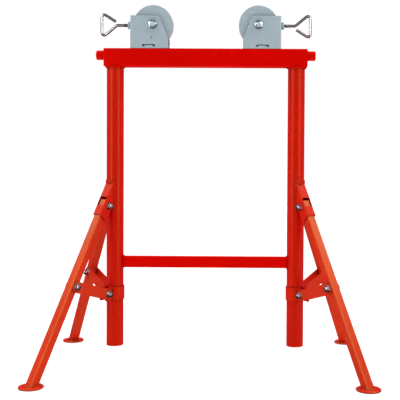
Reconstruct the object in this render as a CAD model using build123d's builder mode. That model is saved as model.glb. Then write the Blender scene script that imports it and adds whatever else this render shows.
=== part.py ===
from build123d import *
from math import atan2, cos, degrees, hypot, radians, sin, tan
import os

# Adjustable roller stand for pipe, all lengths in millimetres.
# X runs along the beam, Y from the front to the back, Z up.
# The origin is on the floor, midway between the two uprights.

# Welded frame
BEAM_LENGTH = 720.0
BEAM_SIZE = 63.5
BEAM_WALL = 4.0
BEAM_TOP = 1121.5
BEAM_CORNER = 5.0
END_PLATE = 4.0
END_PLATE_EDGE = 3.0
UPRIGHT_OD = 60.3
UPRIGHT_FROM_END = 7.35
UPRIGHT_WALL = 3.9
UPRIGHT_BOTTOM = 64.5
STUB_DIAMETER = 34.0
STUB_LENGTH = 30.0
STUB_BELOW_TOP = 22.5
STUB_EDGE = 5.0
CROSSBAR_TOP = 383.0
CROSSBAR_HEIGHT = 40.0
CROSSBAR_DEPTH = 20.0
CROSSBAR_WALL = 2.5
CROSSBAR_CORNER = 3.0
WELD_LEG = 6.0
WELD_BULGE = 0.62

# Folding legs
LEG_PLAN_ANGLE = 55.0
LEG_ANGLE = 30.0
LEG_SIZE = 30.0
LEG_WALL = 2.5
LEG_CORNER = 3.5
PIVOT_R = 47.5
PIVOT_Z = 564.0
PIVOT_OFFSET = 6.0
LEG_ABOVE_PIVOT = 16.0
FOOT_DIAMETER = 80.0
FOOT_THICKNESS = 5.0
FOOT_EDGE = 1.2
LINK_BOLT_DROP = 304.8

# Leg brackets, channels that hold the top of each leg
SHEET = 3.5
BRACKET_SIDE_GAP = 0.4
BRACKET_FACE_GAP = 0.3
BRACKET_LIP = 12.0
BRACKET_BELOW = 43.0
BRACKET_LIP_BELOW = 55.0
BRACKET_ABOVE = 90.0
BRACKET_BEND = 4.2
WINDOW_BELOW = 8.5
WINDOW_ABOVE = 25.0

# Sliding collars and link plates
COLLAR_HEIGHT = 47.0
COLLAR_Z = 253.0
COLLAR_GAP = 0.1
COLLAR_BOLT_R = 49.0
EAR_BEYOND_BOLT = 13.0
EAR_CORNER = 4.0
LINK_WIDTH = 37.0
LINK_THICKNESS = 3.0
SIDE_RUNNING_GAP = 0.1

# Fasteners
BOLT = 12.0
BOLT_HEX = 18.0
BOLT_HEAD = 7.5
BOLT_NUT = 10.0
BOLT_TAIL = 4.0
WASHER_DIAMETER = 24.0
WASHER = 2.5
RUNNING_GAP = 0.08
SPACER_DIAMETER = 20.0

# Roller carriages
CARRIAGE_FROM_END = 93.5
CARRIAGE_LENGTH = 134.5
CARRIAGE_WIDTH = 60.0
CARRIAGE_ABOVE_AXLE = 31.5
CARRIAGE_SHEET = 4.0
CARRIAGE_BEND = 6.0
ROLLER_DIAMETER = 140.0
ROLLER_WIDTH = 38.0
ROLLER_EDGE = 2.0
ROLLER_FROM_WEB = 10.0
ROLLER_ABOVE_BEAM = 13.5
SLOPE_FOOT = 36.0
SLOPE_TOP_FROM_WEB = 102.5
SLOPE_CORNER = 12.0
BASE_LIFT = 5.5
BASE_THICKNESS = 5.0
TAB_FROM_WEB = 65.5
TAB_LENGTH = 29.0
TAB_WINDOW_LENGTH = 48.0
TAB_WINDOW_TOP = 41.0
TAB_WINDOW_HEIGHT = 8.5
AXLE = 16.0
AXLE_HEX = 24.0
AXLE_HEAD = 10.0
AXLE_NUT = 15.0
AXLE_WASHER = 30.0
BUSHING_DIAMETER = 22.0
BUSHING_LENGTH = 16.0
HUB_SPACER = 26.0
CLAMP_FROM_WEB = 40.0
CLAMP_BOLT = 10.0
CLAMP_HEX = 17.0
CLAMP_HEAD = 6.4
CLAMP_BOSS = 26.0
CLAMP_PLATE_LENGTH = 60.0
CLAMP_PLATE_WIDTH = 40.0
CLAMP_PLATE = 8.0
CLAMP_CLEARANCE = 0.3
SLOT_LENGTH = 222.0
SLOT_FROM_END = 40.0

# Brake screws with a bent loop handle
SCREW = 12.0
SCREW_BEYOND_WEB = 25.5
SCREW_NUT_HEX = 24.0
SCREW_NUT = 11.0
TIP_DIAMETER = 9.0
TIP_LENGTH = 3.0
TIP_GAP = 1.0
HANDLE_WIRE = 10.0
HANDLE_NECK = 25.0
HANDLE_REACH = 54.0
HANDLE_HALF = 45.0
HANDLE_BEND = 9.0
HANDLE_END_GAP = 4.0

SIDES = {"left": -1, "right": 1}
ENDS = {"front": -1, "back": 1}
BEAM_BOTTOM = BEAM_TOP - BEAM_SIZE
UPRIGHT_SPACING = BEAM_LENGTH - UPRIGHT_OD - 2 * UPRIGHT_FROM_END
SLOT_WIDTH = CLAMP_BOLT + 2 * CLAMP_CLEARANCE
SLOT_OUTER_X = BEAM_LENGTH / 2 - SLOT_FROM_END
CARRIAGE_OUTER_X = BEAM_LENGTH / 2 - CARRIAGE_FROM_END
CARRIAGE_INNER_X = CARRIAGE_OUTER_X - CARRIAGE_LENGTH
ROLLER_X = CARRIAGE_OUTER_X - ROLLER_DIAMETER / 2 - ROLLER_FROM_WEB
ROLLER_Z = BEAM_TOP + ROLLER_ABOVE_BEAM + ROLLER_DIAMETER / 2
CARRIAGE_TOP = ROLLER_Z + CARRIAGE_ABOVE_AXLE
TAB_X = CARRIAGE_OUTER_X - TAB_FROM_WEB
CLAMP_X = CARRIAGE_OUTER_X - CLAMP_FROM_WEB
SCREW_END_X = CARRIAGE_OUTER_X + SCREW_BEYOND_WEB
HALF_LEG = LEG_SIZE / 2
LINK_INNER = HALF_LEG + SIDE_RUNNING_GAP
UP = Vector(0, 0, 1)

os.makedirs("parts", exist_ok=True)


def save(piece, name):
    piece.part.label = name
    export_step(piece.part, f"parts/{name}.step")


def leg_plane(side, end):
    """Upright plane through one upright and its leg: x is outward, y is up."""
    angle = radians(LEG_PLAN_ANGLE)
    outward = Vector(side * cos(angle), end * sin(angle), 0)
    return Plane((side * UPRIGHT_SPACING / 2, 0, 0), x_dir=outward, z_dir=outward.cross(UP))


def pivot_plane(side, end):
    """The same plane turned to the leg: x is across the leg, y runs up along it."""
    upright = leg_plane(side, end)
    tilt = radians(LEG_ANGLE)
    across = upright.x_dir * cos(tilt) + UP * sin(tilt)
    return Plane(upright.from_local_coords((PIVOT_R, PIVOT_Z)), x_dir=across, z_dir=upright.z_dir)


def leg_section(side, end, along):
    """Plane square to the leg, at a distance along it from the pivot bolt."""
    pivot = pivot_plane(side, end)
    return Plane(pivot.from_local_coords((0, along)), x_dir=pivot.x_dir, z_dir=pivot.y_dir)


def link_bolt_point():
    tilt = radians(LEG_ANGLE)
    return (PIVOT_R + LINK_BOLT_DROP * sin(tilt), PIVOT_Z - LINK_BOLT_DROP * cos(tilt))


def fastener(plane, point, grip, way=1, diameter=BOLT, across_flats=BOLT_HEX, head=BOLT_HEAD,
             nut=BOLT_NUT, washer=WASHER_DIAMETER):
    """Hex bolt with washers and nut on a grip centred on the plane; way 1 has the head on its +z."""
    outer = grip / 2 + WASHER
    with BuildPart() as bolt:
        with BuildSketch(plane.offset(-way * (outer + nut + BOLT_TAIL))):
            with Locations(point):
                Circle(diameter / 2)
        extrude(amount=way * (2 * outer + nut + BOLT_TAIL))
        for start in (grip / 2, -outer):
            with BuildSketch(plane.offset(way * start)):
                with Locations(point):
                    Circle(washer / 2)
            extrude(amount=way * WASHER)
        for start, amount in ((outer, head), (-outer - nut, nut)):
            with BuildSketch(plane.offset(way * start)):
                with Locations(point):
                    RegularPolygon(across_flats / 2, 6, major_radius=False)
            extrude(amount=way * amount)
    return bolt.part


# Beam: square tube with a clamp slot in its top wall for each carriage
with BuildPart() as beam:
    with BuildSketch(Plane.YZ.offset(-BEAM_LENGTH / 2 + END_PLATE)):
        with Locations((0, BEAM_BOTTOM + BEAM_SIZE / 2)):
            RectangleRounded(BEAM_SIZE, BEAM_SIZE, BEAM_CORNER)
            RectangleRounded(BEAM_SIZE - 2 * BEAM_WALL, BEAM_SIZE - 2 * BEAM_WALL,
                             BEAM_CORNER - BEAM_WALL, mode=Mode.SUBTRACT)
    extrude(amount=BEAM_LENGTH - 2 * END_PLATE)
    with BuildSketch(Plane.XY.offset(BEAM_TOP)):
        for side in SIDES.values():
            with Locations((side * (SLOT_OUTER_X - SLOT_LENGTH / 2), 0)):
                SlotOverall(SLOT_LENGTH, SLOT_WIDTH)
    extrude(amount=-BEAM_WALL, mode=Mode.SUBTRACT)
save(beam, "beam")

# Crossbar: flat rectangular tube, its ends coped round the uprights
with BuildPart() as crossbar:
    with BuildSketch(Plane.YZ.offset(-UPRIGHT_SPACING / 2)):
        with Locations((0, CROSSBAR_TOP - CROSSBAR_HEIGHT / 2)):
            RectangleRounded(CROSSBAR_DEPTH, CROSSBAR_HEIGHT, CROSSBAR_CORNER)
            RectangleRounded(CROSSBAR_DEPTH - 2 * CROSSBAR_WALL, CROSSBAR_HEIGHT - 2 * CROSSBAR_WALL,
                             CROSSBAR_CORNER - CROSSBAR_WALL, mode=Mode.SUBTRACT)
    extrude(amount=UPRIGHT_SPACING)
    with BuildSketch(Plane.XY.offset(CROSSBAR_TOP - 2 * CROSSBAR_HEIGHT)):
        with GridLocations(UPRIGHT_SPACING, 1, 2, 1):
            Circle(UPRIGHT_OD / 2)
    extrude(amount=3 * CROSSBAR_HEIGHT, mode=Mode.SUBTRACT)
save(crossbar, "crossbar")

# Fillet welds where the uprights meet the underside of the beam
with BuildPart() as beam_welds:
    for side in SIDES.values():
        root = Plane((side * UPRIGHT_SPACING / 2, 0, BEAM_BOTTOM), x_dir=(1, 0, 0), z_dir=(0, -1, 0))
        with BuildSketch(root):
            with BuildLine():
                Line((UPRIGHT_OD / 2, 0), (UPRIGHT_OD / 2, -WELD_LEG))
                ThreePointArc((UPRIGHT_OD / 2, -WELD_LEG),
                              (UPRIGHT_OD / 2 + WELD_BULGE * WELD_LEG, -WELD_BULGE * WELD_LEG),
                              (UPRIGHT_OD / 2 + WELD_LEG, 0))
                Line((UPRIGHT_OD / 2 + WELD_LEG, 0), (UPRIGHT_OD / 2, 0))
            make_face()
        revolve(axis=Axis(root.origin, UP))
save(beam_welds, "beam_welds")

# Pivot bolts of all four legs
bracket_grip = LEG_SIZE + 2 * (BRACKET_SIDE_GAP + SHEET)
pivot_bolts = [fastener(pivot_plane(side, end), (0, 0), bracket_grip, -side)
               for side in SIDES.values() for end in ENDS.values()]
with BuildPart() as leg_pivot_bolts:
    add(pivot_bolts)
save(leg_pivot_bolts, "leg_pivot_bolts")

for side_name, side in SIDES.items():
    # Plate that closes the end of the beam
    with BuildPart() as end_plate:
        with BuildSketch(Plane.YZ.offset(side * (BEAM_LENGTH / 2 - END_PLATE))):
            with Locations((0, BEAM_BOTTOM + BEAM_SIZE / 2)):
                RectangleRounded(BEAM_SIZE, BEAM_SIZE, BEAM_CORNER)
        extrude(amount=side * END_PLATE)
        rim = end_plate.faces().sort_by(Axis.X)[-1 if side > 0 else 0].edges()
        fillet(rim, radius=END_PLATE_EDGE)
    save(end_plate, f"end_plate_{side_name}")

    # Round stub welded to the end plate, with a rounded nose
    with BuildPart() as end_stub:
        with BuildSketch(Plane.YZ.offset(side * BEAM_LENGTH / 2)):
            with Locations((0, BEAM_TOP - STUB_BELOW_TOP)):
                Circle(STUB_DIAMETER / 2)
        extrude(amount=side * STUB_LENGTH)
        nose = end_stub.faces().sort_by(Axis.X)[-1 if side > 0 else 0].edges()
        fillet(nose, radius=STUB_EDGE)
    save(end_stub, f"end_stub_{side_name}")

    # Upright: round tube, open at the bottom
    with BuildPart() as upright:
        with BuildSketch(Plane.XY.offset(UPRIGHT_BOTTOM)):
            with Locations((side * UPRIGHT_SPACING / 2, 0)):
                Circle(UPRIGHT_OD / 2)
                Circle(UPRIGHT_OD / 2 - UPRIGHT_WALL, mode=Mode.SUBTRACT)
        extrude(amount=BEAM_BOTTOM - UPRIGHT_BOTTOM)
    save(upright, f"upright_{side_name}")

    # Collar: two bent straps whose ears are bolted together in pairs
    bore = UPRIGHT_OD / 2 + COLLAR_GAP
    with BuildSketch(Plane.XY.offset(COLLAR_Z - COLLAR_HEIGHT / 2)) as strap_outline:
        with Locations((side * UPRIGHT_SPACING / 2, 0)):
            Circle(bore + SHEET)
        for end in ENDS.values():
            direction = end * LEG_PLAN_ANGLE if side > 0 else 180 - end * LEG_PLAN_ANGLE
            with Locations(Location((side * UPRIGHT_SPACING / 2, 0), direction)):
                Rectangle(COLLAR_BOLT_R + EAR_BEYOND_BOLT, LEG_SIZE, align=(Align.MIN, Align.CENTER))
        with Locations((side * UPRIGHT_SPACING / 2, 0)):
            Circle(bore, mode=Mode.SUBTRACT)
        for end in ENDS.values():
            direction = end * LEG_PLAN_ANGLE if side > 0 else 180 - end * LEG_PLAN_ANGLE
            with Locations(Location((side * UPRIGHT_SPACING / 2, 0), direction)):
                Rectangle(2 * COLLAR_BOLT_R, LEG_SIZE - 2 * SHEET, align=(Align.MIN, Align.CENTER),
                          mode=Mode.SUBTRACT)
    short_wrap, long_wrap = strap_outline.sketch.faces().sort_by(SortBy.AREA)
    for strap_name, wrap in (("outer", short_wrap), ("inner", long_wrap)):
        with BuildPart() as collar_strap:
            with BuildSketch(Plane.XY.offset(COLLAR_Z - COLLAR_HEIGHT / 2)):
                add(wrap.moved(Location((0, 0, COLLAR_HEIGHT / 2 - COLLAR_Z))))
            extrude(amount=COLLAR_HEIGHT)
            for end in ENDS.values():
                ear = leg_plane(side, end)
                with BuildSketch(ear):
                    with Locations((COLLAR_BOLT_R, COLLAR_Z)):
                        Circle(BOLT / 2)
                extrude(amount=LEG_SIZE, both=True, mode=Mode.SUBTRACT)
            axis = Vector(side * UPRIGHT_SPACING / 2, 0, 0)
            ear_ends = collar_strap.edges().filter_by(GeomType.LINE).filter_by(
                lambda edge: edge.length < 2 * SHEET
                and Vector(edge.center().X, edge.center().Y).sub(axis).length > COLLAR_BOLT_R)
            fillet(ear_ends, radius=EAR_CORNER)
        save(collar_strap, f"collar_{strap_name}_strap_{side_name}")

    # Collar bolts, each with a spacer tube between its two ears
    collar_grip = 2 * (LINK_INNER + LINK_THICKNESS + SIDE_RUNNING_GAP)
    ear_bolts = [fastener(leg_plane(side, end), (COLLAR_BOLT_R, COLLAR_Z), collar_grip, -side)
                 for end in ENDS.values()]
    with BuildPart() as collar_bolts:
        add(ear_bolts)
        for end in ENDS.values():
            with BuildSketch(leg_plane(side, end).offset(SHEET - HALF_LEG)):
                with Locations((COLLAR_BOLT_R, COLLAR_Z)):
                    Circle(SPACER_DIAMETER / 2)
            extrude(amount=LEG_SIZE - 2 * SHEET)
    save(collar_bolts, f"collar_bolts_{side_name}")

    for end_name, end in ENDS.items():
        name = f"{end_name}_{side_name}"
        upright_plane = leg_plane(side, end)
        pivot = pivot_plane(side, end)

        # Leg bracket: bent channel with a window, coped on to the upright
        with BuildPart() as leg_bracket:
            with BuildSketch(leg_section(side, end, -BRACKET_LIP_BELOW)):
                face = PIVOT_OFFSET + HALF_LEG + BRACKET_FACE_GAP
                side_wall = HALF_LEG + BRACKET_SIDE_GAP
                with BuildLine():
                    FilletPolyline((-BRACKET_LIP, side_wall + SHEET), (face + SHEET, side_wall + SHEET),
                                   (face + SHEET, -side_wall - SHEET), (-BRACKET_LIP, -side_wall - SHEET),
                                   radius=BRACKET_BEND)
                    FilletPolyline((-BRACKET_LIP, -side_wall), (face, -side_wall), (face, side_wall),
                                   (-BRACKET_LIP, side_wall), radius=BRACKET_BEND - SHEET)
                    Line((-BRACKET_LIP, side_wall), (-BRACKET_LIP, side_wall + SHEET))
                    Line((-BRACKET_LIP, -side_wall), (-BRACKET_LIP, -side_wall - SHEET))
                make_face()
            extrude(amount=BRACKET_LIP_BELOW + BRACKET_ABOVE)
            with BuildSketch(pivot):
                Polygon((-BRACKET_LIP, -BRACKET_LIP_BELOW), (face + SHEET, -BRACKET_LIP_BELOW),
                        (face + SHEET, -BRACKET_BELOW), align=None)
            extrude(amount=side_wall + SHEET, both=True, mode=Mode.SUBTRACT)
            with BuildSketch(pivot):
                with Locations((face, (WINDOW_ABOVE - WINDOW_BELOW) / 2)):
                    Rectangle(3 * SHEET, WINDOW_ABOVE + WINDOW_BELOW)
            extrude(amount=side_wall, both=True, mode=Mode.SUBTRACT)
            with BuildSketch(pivot):
                Circle(BOLT / 2)
            extrude(amount=LEG_SIZE, both=True, mode=Mode.SUBTRACT)
            with BuildSketch(Plane.XY.offset(UPRIGHT_BOTTOM)):
                with Locations((side * UPRIGHT_SPACING / 2, 0)):
                    Circle(UPRIGHT_OD / 2)
            extrude(amount=BEAM_BOTTOM - UPRIGHT_BOTTOM, mode=Mode.SUBTRACT)
        save(leg_bracket, f"leg_bracket_{name}")

        # Leg: square tube, square at the top, cut level where it meets the foot
        tilt = radians(LEG_ANGLE)
        foot_r = PIVOT_R + PIVOT_OFFSET / cos(tilt) + PIVOT_Z * tan(tilt)
        with BuildPart() as leg_tube:
            with BuildSketch(leg_section(side, end, LEG_ABOVE_PIVOT)):
                with Locations((PIVOT_OFFSET, 0)):
                    RectangleRounded(LEG_SIZE, LEG_SIZE, LEG_CORNER)
                    RectangleRounded(LEG_SIZE - 2 * LEG_WALL, LEG_SIZE - 2 * LEG_WALL,
                                     LEG_CORNER - LEG_WALL, mode=Mode.SUBTRACT)
            extrude(amount=-LEG_ABOVE_PIVOT - PIVOT_Z / cos(tilt) - LEG_SIZE)
            split(bisect_by=Plane.XY.offset(FOOT_THICKNESS), keep=Keep.TOP)
            with BuildSketch(pivot):
                Circle(BOLT / 2 + RUNNING_GAP)
                with Locations((0, -LINK_BOLT_DROP)):
                    Circle(BOLT / 2)
            extrude(amount=LEG_SIZE, both=True, mode=Mode.SUBTRACT)
        save(leg_tube, f"leg_{name}")

        # Foot: round plate
        with BuildPart() as foot:
            centre = upright_plane.from_local_coords((foot_r, 0))
            with BuildSketch():
                with Locations((centre.X, centre.Y)):
                    Circle(FOOT_DIAMETER / 2)
            extrude(amount=FOOT_THICKNESS)
            fillet(foot.edges(), radius=FOOT_EDGE)
        save(foot, f"foot_{name}")

        # Link: two flat plates with round ends, one on each side of the leg
        link_bolt = link_bolt_point()
        run = (link_bolt[0] - COLLAR_BOLT_R, link_bolt[1] - COLLAR_Z)
        length = hypot(*run)
        with BuildPart() as link_plates:
            for start in (LINK_INNER, -LINK_INNER - LINK_THICKNESS):
                with BuildSketch(upright_plane.offset(start)):
                    middle = (COLLAR_BOLT_R + run[0] / 2, COLLAR_Z + run[1] / 2)
                    with Locations(middle):
                        SlotCenterToCenter(length, LINK_WIDTH, rotation=degrees(atan2(run[1], run[0])))
                    with Locations((COLLAR_BOLT_R, COLLAR_Z)):
                        Circle(BOLT / 2 + RUNNING_GAP, mode=Mode.SUBTRACT)
                    with Locations(link_bolt):
                        Circle(BOLT / 2, mode=Mode.SUBTRACT)
                extrude(amount=LINK_THICKNESS)
        save(link_plates, f"link_plates_{name}")

        # Link bolt: its ends turn with the plates, its middle stays in the leg
        link_grip = 2 * (LINK_INNER + LINK_THICKNESS)
        whole_bolt = fastener(upright_plane, link_bolt, link_grip, -side)
        with BuildPart() as link_bolt_ends:
            add(whole_bolt)
            with BuildSketch(upright_plane):
                with Locations(link_bolt):
                    Circle(BOLT)
            extrude(amount=LINK_INNER, both=True, mode=Mode.SUBTRACT)
        save(link_bolt_ends, f"link_bolt_ends_{name}")
        with BuildPart() as link_pin:
            with BuildSketch(upright_plane):
                with Locations(link_bolt):
                    Circle(BOLT / 2)
            extrude(amount=HALF_LEG, both=True)
        save(link_pin, f"link_pin_{name}")

    # Carriage: sheet bent to a channel, front and back cheeks joined by the outer web
    with BuildPart() as carriage:
        inner_x, outer_x = side * CARRIAGE_INNER_X, side * CARRIAGE_OUTER_X
        half, wall = CARRIAGE_WIDTH / 2, side * CARRIAGE_SHEET
        with BuildSketch(Plane.XY.offset(BEAM_TOP)):
            with BuildLine():
                FilletPolyline((inner_x, half), (outer_x, half), (outer_x, -half), (inner_x, -half),
                               radius=CARRIAGE_BEND)
                Line((inner_x, -half), (inner_x, CARRIAGE_SHEET - half))
                FilletPolyline((inner_x, CARRIAGE_SHEET - half), (outer_x - wall, CARRIAGE_SHEET - half),
                               (outer_x - wall, half - CARRIAGE_SHEET), (inner_x, half - CARRIAGE_SHEET),
                               radius=CARRIAGE_BEND - CARRIAGE_SHEET)
                Line((inner_x, half - CARRIAGE_SHEET), (inner_x, half))
            make_face()
        extrude(amount=CARRIAGE_TOP - BEAM_TOP)
        with BuildSketch(Plane.XZ) as cheek:
            with BuildLine():
                Polyline((inner_x, BEAM_TOP), (outer_x, BEAM_TOP), (outer_x, CARRIAGE_TOP),
                         (outer_x - side * SLOPE_TOP_FROM_WEB, CARRIAGE_TOP),
                         (inner_x, BEAM_TOP + SLOPE_FOOT), close=True)
            make_face()
            fillet(cheek.vertices().group_by(Axis.Y)[-1].sort_by(Axis.X)[0 if side > 0 else -1],
                   radius=SLOPE_CORNER)
        extrude(amount=CARRIAGE_WIDTH, both=True, mode=Mode.INTERSECT)
        base_z = BEAM_TOP + BASE_LIFT
        with BuildSketch(Plane.XZ):
            with BuildLine():
                Polyline((side * TAB_X - TAB_WINDOW_LENGTH / 2, base_z),
                         (side * TAB_X + TAB_WINDOW_LENGTH / 2, base_z),
                         (side * TAB_X + TAB_WINDOW_TOP / 2, base_z + TAB_WINDOW_HEIGHT),
                         (side * TAB_X - TAB_WINDOW_TOP / 2, base_z + TAB_WINDOW_HEIGHT), close=True)
            make_face()
            with Locations((side * ROLLER_X, ROLLER_Z)):
                Circle(AXLE / 2)
        extrude(amount=CARRIAGE_WIDTH, both=True, mode=Mode.SUBTRACT)
        with BuildSketch(Plane.YZ.offset(outer_x - 2 * wall)):
            with Locations((0, ROLLER_Z)):
                Circle(SCREW / 2 + RUNNING_GAP)
        extrude(amount=3 * wall, mode=Mode.SUBTRACT)
    save(carriage, f"carriage_{side_name}")

    # Carriage base: plate with a tab through each cheek and a boss under the clamp bolt
    with BuildPart() as carriage_base:
        with BuildSketch(Plane.XY.offset(base_z)) as base_outline:
            with Locations(((inner_x + outer_x - wall) / 2, 0)):
                Rectangle(CARRIAGE_LENGTH - CARRIAGE_SHEET, CARRIAGE_WIDTH - 2 * CARRIAGE_SHEET)
            fillet(base_outline.vertices().group_by(Axis.X)[-1 if side > 0 else 0],
                   radius=CARRIAGE_BEND - CARRIAGE_SHEET)
            with Locations((side * TAB_X, 0)):
                Rectangle(TAB_LENGTH, CARRIAGE_WIDTH)
        extrude(amount=BASE_THICKNESS)
        with BuildSketch(Plane.XY.offset(BEAM_TOP)):
            with Locations((side * CLAMP_X, 0)):
                Circle(CLAMP_BOSS / 2)
        extrude(amount=BASE_LIFT)
        with BuildSketch(Plane.XY.offset(BEAM_TOP)):
            with Locations((side * CLAMP_X, 0)):
                Circle(CLAMP_BOLT / 2)
        extrude(amount=BASE_LIFT + BASE_THICKNESS, mode=Mode.SUBTRACT)
    save(carriage_base, f"carriage_base_{side_name}")

    # Clamp bolt through the slot in the beam, and the threaded plate that it pulls up inside
    base_top = base_z + BASE_THICKNESS
    plate_z = BEAM_TOP - BEAM_WALL - CLAMP_PLATE
    with BuildPart() as clamp_bolt:
        with BuildSketch(Plane.XY.offset(base_top)):
            with Locations((side * CLAMP_X, 0)):
                RegularPolygon(CLAMP_HEX / 2, 6, major_radius=False)
        extrude(amount=CLAMP_HEAD)
        with BuildSketch(Plane.XY.offset(base_top)):
            with Locations((side * CLAMP_X, 0)):
                Circle(CLAMP_BOLT / 2)
        extrude(amount=plate_z - BOLT_TAIL - base_top)
    save(clamp_bolt, f"clamp_bolt_{side_name}")
    with BuildPart() as clamp_plate:
        with BuildSketch(Plane.XY.offset(plate_z)):
            with Locations((side * CLAMP_X, 0)):
                Rectangle(CLAMP_PLATE_LENGTH, CLAMP_PLATE_WIDTH)
                Circle(CLAMP_BOLT / 2, mode=Mode.SUBTRACT)
        extrude(amount=CLAMP_PLATE)
    save(clamp_plate, f"clamp_plate_{side_name}")

    # Roller: solid steel wheel on two bushings
    axle_point = (side * ROLLER_X, ROLLER_Z)
    with BuildPart() as roller:
        with BuildSketch(Plane.XZ):
            with Locations(axle_point):
                Circle(ROLLER_DIAMETER / 2)
                Circle(BUSHING_DIAMETER / 2, mode=Mode.SUBTRACT)
        extrude(amount=ROLLER_WIDTH / 2, both=True)
        rims = roller.edges().filter_by(GeomType.CIRCLE).filter_by(
            lambda edge: edge.radius > BUSHING_DIAMETER)
        fillet(rims, radius=ROLLER_EDGE)
    save(roller, f"roller_{side_name}")
    with BuildPart() as roller_bushings:
        for start in (ROLLER_WIDTH / 2 - BUSHING_LENGTH, -ROLLER_WIDTH / 2):
            with BuildSketch(Plane.XZ.offset(start)):
                with Locations(axle_point):
                    Circle(BUSHING_DIAMETER / 2)
                    Circle(AXLE / 2 + RUNNING_GAP, mode=Mode.SUBTRACT)
            extrude(amount=BUSHING_LENGTH)
    save(roller_bushings, f"roller_bushings_{side_name}")

    # Axle bolt, with a spacer ring on each side of the roller
    axle = fastener(Plane.XZ, axle_point, CARRIAGE_WIDTH, -1, AXLE, AXLE_HEX, AXLE_HEAD, AXLE_NUT,
                    AXLE_WASHER)
    with BuildPart() as axle_bolt:
        add(axle)
        gap = ROLLER_WIDTH / 2 + SIDE_RUNNING_GAP
        for start, amount in ((gap, CARRIAGE_WIDTH / 2 - CARRIAGE_SHEET - gap),
                              (-gap, gap - CARRIAGE_WIDTH / 2 + CARRIAGE_SHEET)):
            with BuildSketch(Plane.XZ.offset(start)):
                with Locations(axle_point):
                    Circle(HUB_SPACER / 2)
            extrude(amount=amount)
    save(axle_bolt, f"axle_bolt_{side_name}")

    # Nut welded on the web, in which the brake screw turns
    with BuildPart() as brake_nut:
        with BuildSketch(Plane.YZ.offset(outer_x)):
            with Locations((0, ROLLER_Z)):
                RegularPolygon(SCREW_NUT_HEX / 2, 6, major_radius=False)
                Circle(SCREW / 2 + RUNNING_GAP, mode=Mode.SUBTRACT)
        extrude(amount=side * SCREW_NUT)
    save(brake_nut, f"brake_nut_{side_name}")

    # Brake tip: swivel pad that meets the rim of the roller
    tip_x = side * (ROLLER_X + ROLLER_DIAMETER / 2 + TIP_GAP)
    with BuildPart() as brake_tip:
        with BuildSketch(Plane.YZ.offset(tip_x)):
            with Locations((0, ROLLER_Z)):
                Circle(TIP_DIAMETER / 2)
        extrude(amount=side * TIP_LENGTH)
    save(brake_tip, f"brake_tip_{side_name}")

    # Brake screw: one rod, its outer end bent to a three-sided loop
    handle = Plane((0, 0, ROLLER_Z), x_dir=(side, 0, 0), z_dir=(0, -side, 0))
    with BuildPart() as brake_screw:
        with BuildSketch(Plane.YZ.offset(tip_x + side * TIP_LENGTH)):
            with Locations((0, ROLLER_Z)):
                Circle(SCREW / 2)
        extrude(amount=side * SCREW_END_X - tip_x - side * TIP_LENGTH)
        with BuildLine(handle) as loop:
            neck_x = SCREW_END_X + HANDLE_NECK
            far_x = neck_x + HANDLE_REACH
            lean = HANDLE_HALF / HANDLE_REACH
            FilletPolyline((SCREW_END_X, 0), (neck_x, 0), (far_x, HANDLE_HALF), (far_x, -HANDLE_HALF),
                           (neck_x + HANDLE_END_GAP, -HANDLE_END_GAP * lean - HANDLE_WIRE),
                           radius=HANDLE_BEND)
        with BuildSketch(Plane(loop.line @ 0, z_dir=loop.line % 0)):
            Circle(HANDLE_WIRE / 2)
        sweep()
    save(brake_screw, f"brake_screw_{side_name}")
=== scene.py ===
from math import acos, asin, cos, pi, radians, sin, sqrt, tan

import bmesh
import bpy
from mathutils import Matrix, Vector, noise


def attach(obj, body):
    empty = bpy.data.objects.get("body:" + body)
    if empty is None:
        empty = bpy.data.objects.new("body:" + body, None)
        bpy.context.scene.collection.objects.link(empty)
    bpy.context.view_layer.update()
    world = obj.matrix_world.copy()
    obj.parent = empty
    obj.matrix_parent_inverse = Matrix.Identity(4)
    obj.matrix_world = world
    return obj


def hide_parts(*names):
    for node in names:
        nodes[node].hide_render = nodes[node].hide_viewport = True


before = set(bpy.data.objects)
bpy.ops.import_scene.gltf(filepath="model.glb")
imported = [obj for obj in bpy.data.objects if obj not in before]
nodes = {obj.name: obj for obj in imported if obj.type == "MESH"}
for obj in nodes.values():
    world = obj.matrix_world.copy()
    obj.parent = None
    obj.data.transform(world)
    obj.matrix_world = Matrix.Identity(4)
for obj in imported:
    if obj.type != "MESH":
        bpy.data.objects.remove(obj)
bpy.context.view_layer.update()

# Sizes of the stand, in metres
SPACING = 0.645
TUBE_R = 0.03015
BEAM_BOTTOM = 1.058
BEAM_TOP = 1.1215
BEAM_HALF_LENGTH = 0.36
STUB_Z = 1.099
STUB_R = 0.017
CROSSBAR_Z = 0.363
CROSSBAR_HALF_DEPTH = 0.010
CROSSBAR_HALF_HEIGHT = 0.020
PLAN = radians(55)
LEAN = radians(30)
PIVOT_R = 0.0475
PIVOT_Z = 0.564
PIVOT_OFFSET = 0.006
LEG_HALF = 0.015
LEG_CORNER = 0.0035
BRACKET_HALF = 0.0189
BRACKET_FACE = 0.0248
BRACKET_LIP = 0.012
FOOT_TOP = 0.005
LINK_DROP = 0.3048
COLLAR_R = 0.049
COLLAR_Z = 0.253
ROLLER_X = 0.1865
ROLLER_Z = 1.205
WEB_X = 0.2665
TAB_X = 0.201
TAB_HALF_LENGTH = 0.0135
SIDES = {"left": -1, "right": 1}
ENDS = {"front": -1, "back": 1}
UP = Vector((0, 0, 1))

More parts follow.
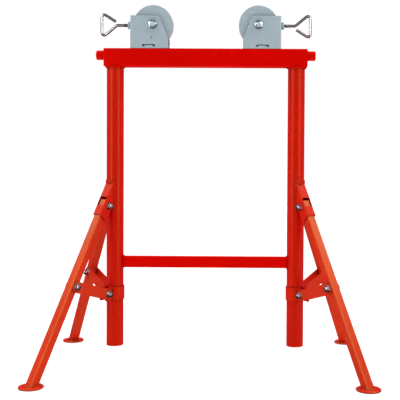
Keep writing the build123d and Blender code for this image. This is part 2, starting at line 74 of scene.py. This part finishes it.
# Fasteners and the screw's loop
M12 = {"size": 0.012, "pitch": 0.00175, "flats": 0.018, "head": 0.0075, "nut": 0.010, "washer": 0.012}
M16 = {"size": 0.016, "pitch": 0.002, "flats": 0.024, "head": 0.010, "nut": 0.015, "washer": 0.015}
WASHER = 0.0025
BOLT_TAIL = 0.004
PIVOT_GRIP = 0.0378
EAR_GRIP = 0.0364
LINK_GRIP = 0.0362
AXLE_GRIP = 0.060
LINK_PIN_HALF = 0.0151
EAR_SPACER_R = 0.010
EAR_SPACER_HALF = 0.0115
AXLE_SPACER_R = 0.013
AXLE_SPACER_FROM = 0.0191
AXLE_SPACER_TO = 0.026
SCREW_NUT_FLATS = 0.024
SCREW_NUT = 0.011
SCREW_FROM = 0.2605
SCREW_TO = 0.294
LOOP_WIRE_R = 0.005
LOOP_BEND = 0.009
LOOP_CORNERS = [(0.2935, 0), (0.317, 0), (0.371, 0.045), (0.371, -0.045), (0.321, -0.01333)]

# Weld beads: their radius, and the steps and ripples along them
HEAD_BEAD = 0.0040
CROSSBAR_BEAD = 0.0026
STUB_BEAD = 0.0024
BRACKET_BEAD = 0.0024
FILL_BEAD = 0.0026
FILL_DROPS = (0.0085, 0.0055, 0.0025, 0.0)
FOOT_BEAD = 0.0024
NUT_BEAD = 0.0016
TAB_BEAD = 0.0012
BEAD_STEP = 0.0011
RIPPLE = 0.0034

SHARP_ANGLE = radians(32)

# Small knocks in the paint: where each is, and its radius
RED_MARKS = [((0.3323, -0.0285, 0.6699), 0.0034), ((-0.3434, -0.0215, 0.1888), 0.0036),
             ((-0.4163, -0.1463, 0.3781), 0.0034), ((-0.4190, -0.1480, 0.3720), 0.0026),
             ((-0.3345, -0.0270, 0.0680), 0.0030)]
GREY_MARKS = [((-0.1922, -0.030, 1.1560), 0.0014), ((-0.1912, -0.030, 1.1582), 0.0016),
              ((-0.1902, -0.030, 1.1606), 0.0017), ((-0.1892, -0.030, 1.1630), 0.0015)]
RED_CHIP = (0.04, 0.006, 0.004)
GREY_CHIP = (0.05, 0.06, 0.07)


# Materials

class Nodes:
    """Short calls for adding and linking the nodes of one tree."""

    # Places of the two inputs and of the result on a Mix node
    MIX_SOCKETS = {"FLOAT": (2, 3, 0), "RGBA": (6, 7, 2)}

    def __init__(self, tree):
        self.tree = tree

    def put(self, node, key, value):
        socket = node.inputs[key]
        if isinstance(value, bpy.types.NodeSocket):
            self.tree.links.new(value, socket)
        else:
            socket.default_value = value

    def add(self, kind, sockets=(), **settings):
        made = self.tree.nodes.new("ShaderNode" + kind)
        for key, value in settings.items():
            setattr(made, key, value)
        for key, value in dict(sockets).items():
            self.put(made, key, value)
        return made

    def ramp(self, value, low, high, start=0.0, end=1.0):
        made = self.add("MapRange", {"Value": value, "From Min": low, "From Max": high,
                                     "To Min": start, "To Max": end})
        return made.outputs["Result"]

    def math(self, operation, a, b):
        return self.add("Math", {0: a, 1: b}, operation=operation).outputs[0]

    def mix(self, factor, a, b, data_type="RGBA"):
        first, second, result = self.MIX_SOCKETS[data_type]
        made = self.add("Mix", {0: factor, first: a, second: b}, data_type=data_type)
        return made.outputs[result]


class Paint(Nodes):
    """A Principled material. The scales of its noises are per metre."""

    def __init__(self, name, sockets):
        self.material = bpy.data.materials.new(name)
        self.material.use_nodes = True
        super().__init__(self.material.node_tree)
        self.shader = self.tree.nodes["Principled BSDF"]
        self.place = self.add("TexCoord").outputs["Object"]
        self.set(sockets)

    def set(self, sockets):
        for key, value in sockets.items():
            self.put(self.shader, key, value)

    def noise(self, scale, detail):
        made = self.add("TexNoise", {"Vector": self.place, "Scale": scale, "Detail": detail,
                                     "Roughness": 0.5})
        return made.outputs["Fac"]

    def bump(self, height, distance, strength, under=None):
        made = self.add("Bump", {"Height": height, "Distance": distance, "Strength": strength})
        if under:
            self.put(made, "Normal", under)
        return made.outputs["Normal"]

    def spot(self, centre, radius):
        """1 inside a small ragged patch around a point, 0 outside."""
        gap = self.add("VectorMath", {0: self.place, 1: centre}, operation="DISTANCE")
        edge = self.math("MULTIPLY", self.noise(420, 3), radius)
        return self.ramp(self.math("ADD", gap.outputs["Value"], edge),
                         radius * 1.15, radius * 1.45, 1, 0)


def colour(rgb, share=1.0):
    """An opaque colour, at a share of its strength."""
    return (*[share * part for part in rgb], 1.0)


def powder_coat(name, base, deep, roughness, tint, level, marks=RED_MARKS, chip=RED_CHIP):
    """Powder coat: orange peel, slow drift in tone and gloss, painted shade in crevices, a few knocks.
    """
    paint = Paint(name, {"Specular Tint": colour(tint), "Specular IOR Level": level})
    drift = paint.ramp(paint.noise(5.5, 3), 0.35, 0.68)
    tone = paint.mix(drift, colour(base), colour(deep))
    speck = paint.ramp(paint.noise(1300, 1), 0.70, 0.78, 0, 0.12)
    tone = paint.mix(speck, tone, colour(deep, 0.55))
    for centre, radius in marks:
        tone = paint.mix(paint.spot(centre, radius), tone, colour(chip))
    # Painted shade: the colour darkens towards a near-black share of the deep colour where ambient
    # occlusion finds other surfaces close by, in crevices and at joints.
    openness = paint.add("AmbientOcclusion", {"Distance": 0.006}, samples=6).outputs["AO"]
    painted_crevice_shade = paint.ramp(openness, 0.50, 0.92, 0.85, 0.0)
    peel = paint.bump(paint.noise(520, 2), 0.00012, 0.5)
    paint.set({
        "Base Color": paint.mix(painted_crevice_shade, tone, colour(deep, 0.12)),
        "Roughness": paint.ramp(paint.noise(38, 4), 0.3, 0.7, roughness - 0.04, roughness + 0.06),
        "Normal": paint.bump(paint.noise(60, 2), 0.0006, 0.12, peel),
    })
    return paint.material


def bare_metal(name, base, deep, roughness, streak):
    """Plated or polished metal with faint patches and fine marks."""
    # The dark specular tint darkens the reflections towards the grazing edges, as painted shade.
    paint = Paint(name, {"Metallic": 1.0, "Specular Tint": colour((0.15, 0.15, 0.15))})
    patch = paint.ramp(paint.noise(140, 4), 0.35, 0.7)
    paint.set({
        "Base Color": paint.mix(patch, colour(base), colour(deep)),
        "Roughness": paint.ramp(paint.noise(260, 3), 0.3, 0.7, roughness * 0.75, roughness * 1.35),
        "Normal": paint.bump(paint.noise(900, 2), 0.00008, streak),
    })
    return paint.material


# One red paint in four copies: the uprights' copy is darker, as painted shade, and the brackets' and
# legs' copies are more orange with a stronger tinted gloss, as painted sheen.
RED_FRAME = powder_coat("red_frame_paint", (0.72, 0.0005, 0.0001), (0.62, 0.0003, 0.0001), 0.36,
                        (1.0, 0.45, 0.12), 0.05)
RED_TUBE_PAINTED_SHADE = powder_coat("red_tube_painted_shade", (0.60, 0.0004, 0.0001), (0.53, 0.0003, 0.0001), 0.33,
                       (1.0, 0.62, 0.20), 0.22)
RED_BRACKET_PAINTED_SHEEN = powder_coat("red_bracket_painted_sheen", (0.64, 0.0040, 0.0006), (0.56, 0.0025, 0.0006), 0.34,
                          (1.0, 0.55, 0.12), 0.28)
RED_LEG_PAINTED_SHEEN = powder_coat("red_leg_painted_sheen", (0.64, 0.0100, 0.0010), (0.57, 0.0065, 0.0010), 0.32,
                      (1.0, 0.72, 0.20), 1.0)
GREY = powder_coat("grey_paint", (0.38, 0.47, 0.515), (0.345, 0.43, 0.475), 0.46,
                   (1.0, 1.0, 1.0), 0.4, GREY_MARKS, GREY_CHIP)
ZINC = bare_metal("zinc_plate", (0.74, 0.81, 0.88), (0.34, 0.40, 0.46), 0.20, 0.6)
CHROME = bare_metal("chrome_plate", (0.42, 0.41, 0.39), (0.36, 0.35, 0.335), 0.12, 0.1)
BRONZE = bare_metal("sintered_bronze", (0.50, 0.33, 0.16), (0.38, 0.24, 0.11), 0.38, 0.5)

# A node's material: the first row with the start of its name, or else the frame's red
LOOKS = (
    (("carriage", "roller_left", "roller_right", "brake_nut"), GREY),
    (("roller_bushings",), BRONZE),
    (("brake_screw",), CHROME),
    (("leg_pivot_bolts", "collar_bolts", "link_bolt", "link_pin", "axle_bolt", "clamp", "brake_tip"),
     ZINC),
    (("leg_bracket", "collar"), RED_BRACKET_PAINTED_SHEEN),
    (("leg_", "foot", "link_plates"), RED_LEG_PAINTED_SHEEN),
    (("upright",), RED_TUBE_PAINTED_SHADE),
)

for node_name, node in nodes.items():
    if not node.material_slots:
        node.data.materials.append(None)
    for slot in node.material_slots:
        slot.material = next((look for starts, look in LOOKS if node_name.startswith(starts)), RED_FRAME)


# Mesh tools

def piece(name, mesh, material, body, replaced=()):
    """Turns a bmesh into a named object that rides on a body."""
    bmesh.ops.recalc_face_normals(mesh, faces=mesh.faces)
    data = bpy.data.meshes.new(name)
    mesh.to_mesh(data)
    mesh.free()
    data.shade_smooth()
    data.set_sharp_from_angle(angle=SHARP_ANGLE)
    data.materials.append(material)
    made = bpy.data.objects.new(name, data)
    bpy.context.scene.collection.objects.link(made)
    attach(made, body)
    if replaced:
        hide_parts(*replaced)


def angles(count):
    return [2 * pi * i / count for i in range(count)]


def loft(mesh, rings, place=Matrix.Identity(4), ring_closed=False):
    """Skin over rings of points; open ends are capped, or the last ring meets the first."""
    rows = [[mesh.verts.new(place @ Vector(point)) for point in ring] for ring in rings]
    pairs = list(zip(rows, rows[1:]))
    if ring_closed:
        pairs.append((rows[-1], rows[0]))
    for low, high in pairs:
        count = len(low)
        for i in range(count):
            j = (i + 1) % count
            mesh.faces.new((low[i], low[j], high[j], high[i]))
    if not ring_closed:
        mesh.faces.new(rows[0][::-1])
        mesh.faces.new(rows[-1])


def circle(radius, z, count=32):
    return [(radius * cos(angle), radius * sin(angle), z) for angle in angles(count)]


def turned(mesh, place, profile):
    """Solid of revolution about the place's z axis from (radius, z) pairs, capped at both ends."""
    loft(mesh, [circle(radius, z) for radius, z in profile], place)


def hexagon(mesh, place, flats, start, end, both=True):
    """Hexagon head or nut, its corners chamfered by the turning of the blank."""
    half, count, face = flats / 2, 48, 0.475 * flats

    def ring(z, toward):
        points = []
        for angle in angles(count):
            reach = half / cos((angle + pi / 6) % (pi / 3) - pi / 6)
            drop = (reach - face) * tan(radians(30))
            points.append((reach * cos(angle), reach * sin(angle), z + toward * drop))
        return points

    way = 1 if end > start else -1
    rings = [circle(face, start, count), ring(start, way)] if both else [ring(start, 0)]
    rings += [ring(end, -way), circle(face, end, count)]
    loft(mesh, rings, place)


def thread(mesh, place, diameter, pitch, start, end, count=24):
    """Rod with a screw thread, its ends turned down to the root."""
    outer, depth = diameter / 2, 0.58 * pitch
    steps = max(4, round(abs(end - start) / pitch * 6))
    rings = []
    for k in range(steps + 1):
        z = start + (end - start) * k / steps
        margin = min(abs(z - start), abs(end - z))
        limit = min(outer, outer - depth + margin * 1.1)
        ring = []
        for i, angle in enumerate(angles(count)):
            phase = (z / pitch - i / count) % 1
            radius = min(limit, outer - depth * abs(2 * phase - 1))
            ring.append((radius * cos(angle), radius * sin(angle), z))
        rings.append(ring)
    loft(mesh, rings, place)


def washer(mesh, place, outer, low, high):
    edge = 0.0004
    inner = outer - edge
    turned(mesh, place, [(inner, low), (outer, low + edge), (outer, high - edge), (inner, high)])


def bolt(mesh, place, grip, turns, kind=M12, gap=None):
    """Hex bolt with two washers and a nut, clamped on a grip centred on the place; the nut is on -z.

    The two turns are the head's and the nut's. Where a gap is given, the shank is left out that far
    on each side of the middle, because it belongs to another body there."""
    half = grip / 2
    seat = half + WASHER
    nut_end = -seat - kind["nut"]
    head_place, nut_place = [place @ Matrix.Rotation(turn, 4, "Z") for turn in turns]
    washer(mesh, place, kind["washer"], half, seat)
    washer(mesh, place, kind["washer"], -seat, -half)
    hexagon(mesh, head_place, kind["flats"], seat, seat + kind["head"], both=False)
    hexagon(mesh, nut_place, kind["flats"], -seat, nut_end)
    thread(mesh, place, kind["size"], kind["pitch"], nut_end - BOLT_TAIL, nut_end + 0.001)
    for low, high in ([(-seat, -gap), (gap, seat)] if gap else [(-seat, seat)]):
        turned(mesh, place, [(kind["size"] / 2, low), (kind["size"] / 2, high)])


def carried(across, along):
    """The last ring's side direction, made square to the path's new direction."""
    across = along.orthogonal() if across is None else across - across.project(along)
    return across.normalized()


def ring_about(point, across, along, radius, sides):
    lift = along.cross(across)
    return [point + (across * cos(angle) + lift * sin(angle)) * radius for angle in angles(sides)]


def bead(mesh, points, radius, seed, closed=False, sides=9):
    """Weld bead along a path, with the ripples of each pass and rounded ends."""
    points = [Vector(point) for point in points]
    path = []
    for a, b in zip(points, points[1:] + (points[:1] if closed else [])):
        parts = max(1, round((b - a).length / BEAD_STEP))
        path += [a.lerp(b, k / parts) for k in range(parts)]
    if not closed:
        path.append(points[-1])
    count, rings, across, run = len(path), [], None, 0.0
    for i, point in enumerate(path):
        ahead = path[(i + 1) % count] if closed else path[min(i + 1, count - 1)]
        behind = path[i - 1] if closed else path[max(i - 1, 0)]
        along = (ahead - behind).normalized()
        across = carried(across, along)
        run += (point - behind).length if i else 0.0
        rough = 0.22 * noise.noise(point * 90 + Vector((seed, 0, 0)))
        wave = 1 + 0.10 * sin(run / RIPPLE * 2 * pi) + rough
        taper = 1.0 if closed else min(1.0, 0.25 + min(i, count - 1 - i) * 0.35)
        rings.append(ring_about(point, across, along, radius * wave * taper, sides))
    loft(mesh, rings, ring_closed=closed)


def rounded(points, radius, steps=8):
    """A flat polyline with its corners replaced by arcs."""
    points = [Vector(point) for point in points]
    path = [points[0]]
    for a, corner, b in zip(points, points[1:], points[2:]):
        into, out = (a - corner).normalized(), (b - corner).normalized()
        half = acos(max(-1, min(1, into.dot(out)))) / 2
        centre = corner + (into + out).normalized() * radius / sin(half)
        first, last = corner + into * radius / tan(half), corner + out * radius / tan(half)
        sweep = pi - 2 * half
        for k in range(steps + 1):
            path.append(centre + ((first - centre) * sin(sweep * (1 - k / steps))
                                  + (last - centre) * sin(sweep * k / steps)) / sin(sweep))
    return path + [points[-1]]


def rod(mesh, path, radius, nose=0.0008, sides=20):
    """Round rod along a path, its ends slightly chamfered."""
    start, finish = path[0], path[-1]
    inner = [start + (path[1] - start).normalized() * nose, *path[1:-1],
             finish + (path[-2] - finish).normalized() * nose]
    path = [start, *inner, finish]
    sizes = [radius - nose] + [radius] * len(inner) + [radius - nose]
    rings, across = [], None
    for i, point in enumerate(path):
        along = (path[min(i + 1, len(path) - 1)] - path[max(i - 1, 0)]).normalized()
        across = carried(across, along)
        rings.append(ring_about(point, across, along, sizes[i], sides))
    loft(mesh, rings)


def leg_place(side, end, reach, height, lean=0.0, flip=False):
    """Frame in a leg's upright plane: x outward and leaning, y up, z square to the plane.

    Flipped, it is turned over about y, which brings a right-hand bolt's nut to the front."""
    outward = Vector((side * cos(PLAN), end * sin(PLAN), 0))
    square = outward.cross(UP)
    across = outward * cos(lean) + UP * sin(lean)
    place = Matrix((across, square.cross(across), square)).transposed().to_4x4()
    place.translation = Vector((side * SPACING / 2, 0, 0)) + outward * reach + UP * height
    return place @ Matrix.Rotation(pi, 4, "Y") if flip else place


def screw_place(side, x):
    """Frame on a brake screw's axis at a distance x from the middle, z pointing out of the stand."""
    return Matrix(((0, 0, side, side * x), (0, 1, 0, 0), (-side, 0, 0, ROLLER_Z), (0, 0, 0, 1)))


# Fasteners

def pivot_bolts():
    mesh = bmesh.new()
    for side in SIDES.values():
        for end in ENDS.values():
            place = leg_place(side, end, PIVOT_R, PIVOT_Z, LEAN, flip=side > 0)
            bolt(mesh, place, PIVOT_GRIP, (0.3 + side * 0.2, 0.1 + end * 0.4))
    piece("pivot_bolts", mesh, ZINC, "frame", ["leg_pivot_bolts"])


def ear_bolts(side_name, side):
    mesh = bmesh.new()
    for end in ENDS.values():
        place = leg_place(side, end, COLLAR_R, COLLAR_Z, flip=side > 0)
        bolt(mesh, place, EAR_GRIP, (0.2 * end, 0.35 * side))
        turned(mesh, place, [(EAR_SPACER_R, -EAR_SPACER_HALF), (EAR_SPACER_R, EAR_SPACER_HALF)])
    piece(f"ear_bolts_{side_name}", mesh, ZINC, f"collar_{side_name}",
          [f"collar_bolts_{side_name}"])


def link_bolt_ends(side_name, side):
    reach = PIVOT_R + LINK_DROP * sin(LEAN)
    height = PIVOT_Z - LINK_DROP * cos(LEAN)
    for end_name, end in ENDS.items():
        name = f"{end_name}_{side_name}"
        mesh = bmesh.new()
        place = leg_place(side, end, reach, height, flip=side > 0)
        bolt(mesh, place, LINK_GRIP, (0.5 * side, 0.2 + 0.3 * end), gap=LINK_PIN_HALF)
        piece(f"bolt_ends_{name}", mesh, ZINC, f"link_{name}", [f"link_bolt_ends_{name}"])


def axle(side_name, side):
    """Roller's axle through the cheeks, its nut to the front."""
    mesh = bmesh.new()
    place = Matrix(((1, 0, 0, side * ROLLER_X), (0, 0, 1, 0), (0, -1, 0, ROLLER_Z), (0, 0, 0, 1)))
    bolt(mesh, place, AXLE_GRIP, (0.1, 0.25 * side), M16)
    for way in (-1, 1):
        turned(mesh, place, [(AXLE_SPACER_R, way * z) for z in (AXLE_SPACER_FROM, AXLE_SPACER_TO)])
    piece(f"axle_{side_name}", mesh, ZINC, f"carriage_{side_name}", [f"axle_bolt_{side_name}"])


def web_nut(side_name, side):
    """Brake screw's nut on the web, with the bead that holds it."""
    mesh = bmesh.new()
    place = screw_place(side, WEB_X)
    hexagon(mesh, place, SCREW_NUT_FLATS, 0.0, SCREW_NUT)
    ring = [place @ Vector(point) for point in circle(0.0128, 0.0004, 36)]
    bead(mesh, ring, NUT_BEAD, side, closed=True)
    piece(f"web_nut_{side_name}", mesh, GREY, f"carriage_{side_name}",
          [f"brake_nut_{side_name}"])


def loop_screw(side_name, side):
    """Brake screw: threaded shank and bent loop."""
    mesh = bmesh.new()
    thread(mesh, screw_place(side, 0), M12["size"], M12["pitch"], SCREW_FROM, SCREW_TO)
    corners = [(side * x, 0, ROLLER_Z + side * z) for x, z in LOOP_CORNERS]
    rod(mesh, rounded(corners, LOOP_BEND), LOOP_WIRE_R)
    piece(f"loop_screw_{side_name}", mesh, CHROME, f"brake_screw_{side_name}",
          [f"brake_screw_{side_name}"])


# Welds

def head_welds():
    """Weld at the head of each upright, under the beam."""
    mesh = bmesh.new()
    off = 0.0012
    for side in SIDES.values():
        ring = [(side * SPACING / 2 + x, y, z)
                for x, y, z in circle(TUBE_R + off, BEAM_BOTTOM - off, 60)]
        bead(mesh, ring, HEAD_BEAD, 3 + side, closed=True)
    piece("head_welds", mesh, RED_FRAME, "frame", ["beam_welds"])


def crossbar_weld(mesh, side):
    """Bead round the crossbar's end, where it meets the upright."""
    wide, tall = CROSSBAR_HALF_DEPTH, CROSSBAR_HALF_HEIGHT
    corners = [(-wide, -tall), (wide, -tall), (wide, tall), (-wide, tall)]
    ring = []
    for (y, z), (next_y, next_z) in zip(corners, corners[1:] + corners[:1]):
        for k in range(8):
            yy, zz = y + (next_y - y) * k / 8, z + (next_z - z) * k / 8
            reach = sqrt(TUBE_R ** 2 - yy ** 2)
            ring.append((side * (SPACING / 2 - reach - 0.0006), yy * 1.06, CROSSBAR_Z + zz * 1.03))
    bead(mesh, ring, CROSSBAR_BEAD, 5 + side, closed=True)


def stub_weld(mesh, side):
    """Bead round the stub, on the beam's end plate."""
    radius = STUB_R + 0.0006
    ring = [(side * (BEAM_HALF_LENGTH + 0.0008), radius * cos(angle), STUB_Z + radius * sin(angle))
            for angle in angles(40)]
    bead(mesh, ring, STUB_BEAD, 7 + side, closed=True)


def frame_welds():
    mesh = bmesh.new()
    for side in SIDES.values():
        crossbar_weld(mesh, side)
        stub_weld(mesh, side)
    piece("frame_welds", mesh, RED_FRAME, "frame")


def web_height(x):
    """Height of a bracket web's outer face at a distance x from the upright's axis."""
    return PIVOT_Z + (BRACKET_FACE + (PIVOT_R - x) * cos(LEAN)) / sin(LEAN)


def bracket_weld(mesh, side, end):
    """Bead round three sides, and passes that fill the web's curved top to a straight edge."""
    place = leg_place(side, end, 0, 0)
    edge = asin(BRACKET_HALF / TUBE_R)
    wall = TUBE_R * cos(edge)
    lip = PIVOT_Z + (wall - PIVOT_R + BRACKET_LIP / cos(LEAN)) / tan(LEAN)
    off = 0.0008
    path = [(wall + off, lip, -BRACKET_HALF - 0.0006)]
    for k in range(13):
        turn = -edge + 2 * edge * k / 12
        x = TUBE_R * cos(turn)
        path.append((x + off, web_height(x), (TUBE_R + off) * sin(turn)))
    path.append((wall + off, lip, BRACKET_HALF + 0.0006))
    bead(mesh, [place @ Vector(point) for point in path], BRACKET_BEAD, 11 + side + 2 * end)
    off = 0.0003
    for k, drop in enumerate(FILL_DROPS):
        reach = edge * (1 - 0.65 * drop / 0.012)
        path = []
        for j in range(9):
            turn = reach * (j / 4 - 1)
            path.append((TUBE_R * cos(turn) + off, web_height(wall) - drop,
                         (TUBE_R + off) * sin(turn)))
        bead(mesh, [place @ Vector(point) for point in path], FILL_BEAD, 41 + side + 2 * end + k)


def bracket_welds():
    mesh = bmesh.new()
    for side in SIDES.values():
        for end in ENDS.values():
            bracket_weld(mesh, side, end)
    piece("bracket_welds", mesh, RED_BRACKET_PAINTED_SHEEN, "frame")


def foot_weld(side_name, side, end_name, end):
    """Bead round a leg where it stands on its foot."""
    mesh = bmesh.new()
    place = leg_place(side, end, 0, 0)
    centre = PIVOT_R + PIVOT_OFFSET / cos(LEAN) + (PIVOT_Z - FOOT_TOP) * tan(LEAN)
    long, wide = LEG_HALF / cos(LEAN) + 0.0005, LEG_HALF + 0.0005
    ring = []
    for quarter, (x_way, z_way) in enumerate(((1, 1), (-1, 1), (-1, -1), (1, -1))):
        for k in range(4):
            angle = (quarter + k / 3) * pi / 2
            x = centre + x_way * (long - LEG_CORNER) + LEG_CORNER * cos(angle)
            z = z_way * (wide - LEG_CORNER) + LEG_CORNER * sin(angle)
            ring.append(place @ Vector((x, FOOT_TOP + 0.0006, z)))
    bead(mesh, ring, FOOT_BEAD, 20 + side + 3 * end, closed=True)
    piece(f"foot_weld_{end_name}_{side_name}", mesh, RED_LEG_PAINTED_SHEEN, f"leg_{end_name}_{side_name}")


def tab_welds(side_name, side):
    """Bead over the tab that shows in the slot of each cheek."""
    mesh = bmesh.new()
    for face in (-1, 1):
        path = []
        for k in range(13):
            t = k / 6 - 1
            height = BEAM_TOP + 0.0100 - 0.0016 * t * t
            path.append((side * TAB_X + TAB_HALF_LENGTH * t, face * 0.0290, height))
        bead(mesh, path, TAB_BEAD, 31 + side + face)
    piece(f"tab_welds_{side_name}", mesh, GREY, f"carriage_{side_name}")


pivot_bolts()
for side_name, side in SIDES.items():
    ear_bolts(side_name, side)
    link_bolt_ends(side_name, side)
    axle(side_name, side)
    web_nut(side_name, side)
    loop_screw(side_name, side)
head_welds()
frame_welds()
bracket_welds()
for side_name, side in SIDES.items():
    for end_name, end in ENDS.items():
        foot_weld(side_name, side, end_name, end)
for side_name, side in SIDES.items():
    tab_welds(side_name, side)


# Floor and light

paint = Paint("studio_floor", {"Roughness": 0.6})
pale = paint.mix(paint.noise(3, 2), colour((0.88, 0.88, 0.88)), colour((0.91, 0.91, 0.91)))
paint.set({"Base Color": pale})
ground = bmesh.new()
bmesh.ops.create_grid(ground, x_segments=4, y_segments=4, size=14)
floor_mesh = bpy.data.meshes.new("floor")
ground.to_mesh(floor_mesh)
ground.free()
floor_mesh.materials.append(paint.material)
floor = bpy.data.objects.new("floor", floor_mesh)
bpy.context.scene.collection.objects.link(floor)
floor.visible_glossy = False


def panel(name, spot, target, size, power):
    lamp = bpy.data.lights.new(name, "AREA")
    lamp.shape = "RECTANGLE"
    lamp.size, lamp.size_y = size
    lamp.energy = power
    made = bpy.data.objects.new(name, lamp)
    bpy.context.scene.collection.objects.link(made)
    made.location = spot
    made.rotation_euler = (Vector(target) - Vector(spot)).to_track_quat("-Z", "Y").to_euler()
    return made


# The strips and corners only shine back from the stand, and the upper panels light it as well
for side in SIDES.values():
    strip = panel(f"strip_{side}", (side * 2.1, -1.75, 1.1), (0, 0, 0.75), (0.5, 2.4), 40)
    strip.visible_diffuse = False
    panel(f"upper_{side}", (side * 2.0, 0.2, 2.6), (0, 0, 0.5), (1.8, 2.2), 24)
    corner = panel(f"corner_{side}", (side * 1.03, -1.76, 1.73), (0, 0, 0.5), (0.4, 0.4), 8)
    corner.visible_diffuse = False

world = bpy.data.worlds.new("studio")
world.use_nodes = True
bpy.context.scene.world = world
air = Nodes(world.node_tree)
sky = air.add("SeparateXYZ", {"Vector": air.add("TexCoord").outputs["Generated"]}).outputs
rays = air.add("LightPath").outputs
# The camera sees white; what shines back from the stand is a darker room with a bright wall in front
room_light = air.math("ADD", air.ramp(sky["Y"], -0.85, -0.15, 0.05, 1.02),
                      air.ramp(sky["Z"], 0.45, 0.95, 0.0, 1.3))
mirrored = air.ramp(sky["Y"], -0.97, -0.84, 0.95, 0.035)
unseen = air.mix(rays["Is Glossy Ray"], room_light, mirrored, "FLOAT")
strength = air.mix(rays["Is Camera Ray"], unseen, 1.02, "FLOAT")
backdrop = world.node_tree.nodes["Background"]
air.put(backdrop, "Strength", strength)
air.put(backdrop, "Color", (1, 1, 1, 1))

# Camera, fitted to the photograph's vanishing lines; the focal length and centre are in its pixels
PHOTO_SIZE = 400
FOCAL_LENGTH = 789.9
PHOTO_CENTRE = (240.56, 166.33)
CAMERA_AT = (0.1455, -2.8190, 0.7707)
SENSOR = 36.0
yaw, pitch, roll = -0.00712, 0.0230, 0.00533

right = Vector((cos(yaw), -sin(yaw), 0))
ahead = Vector((sin(yaw) * cos(pitch), cos(yaw) * cos(pitch), -sin(pitch)))
above = Vector((sin(yaw) * sin(pitch), cos(yaw) * sin(pitch), cos(pitch)))
rolled_right = right * cos(roll) + above * sin(roll)
rolled_above = above * cos(roll) - right * sin(roll)
lens = bpy.data.cameras.new("camera")
lens.sensor_width = SENSOR
lens.lens = SENSOR * FOCAL_LENGTH / PHOTO_SIZE
lens.shift_x = (PHOTO_SIZE / 2 - PHOTO_CENTRE[0]) / PHOTO_SIZE
lens.shift_y = -(PHOTO_SIZE / 2 - PHOTO_CENTRE[1]) / PHOTO_SIZE
camera = bpy.data.objects.new("camera", lens)
bpy.context.scene.collection.objects.link(camera)
axes = Matrix((rolled_right, rolled_above, -ahead)).transposed().to_4x4()
camera.matrix_world = Matrix.Translation(CAMERA_AT) @ axes
bpy.context.scene.camera = camera
bpy.context.scene.view_settings.view_transform = "Standard"
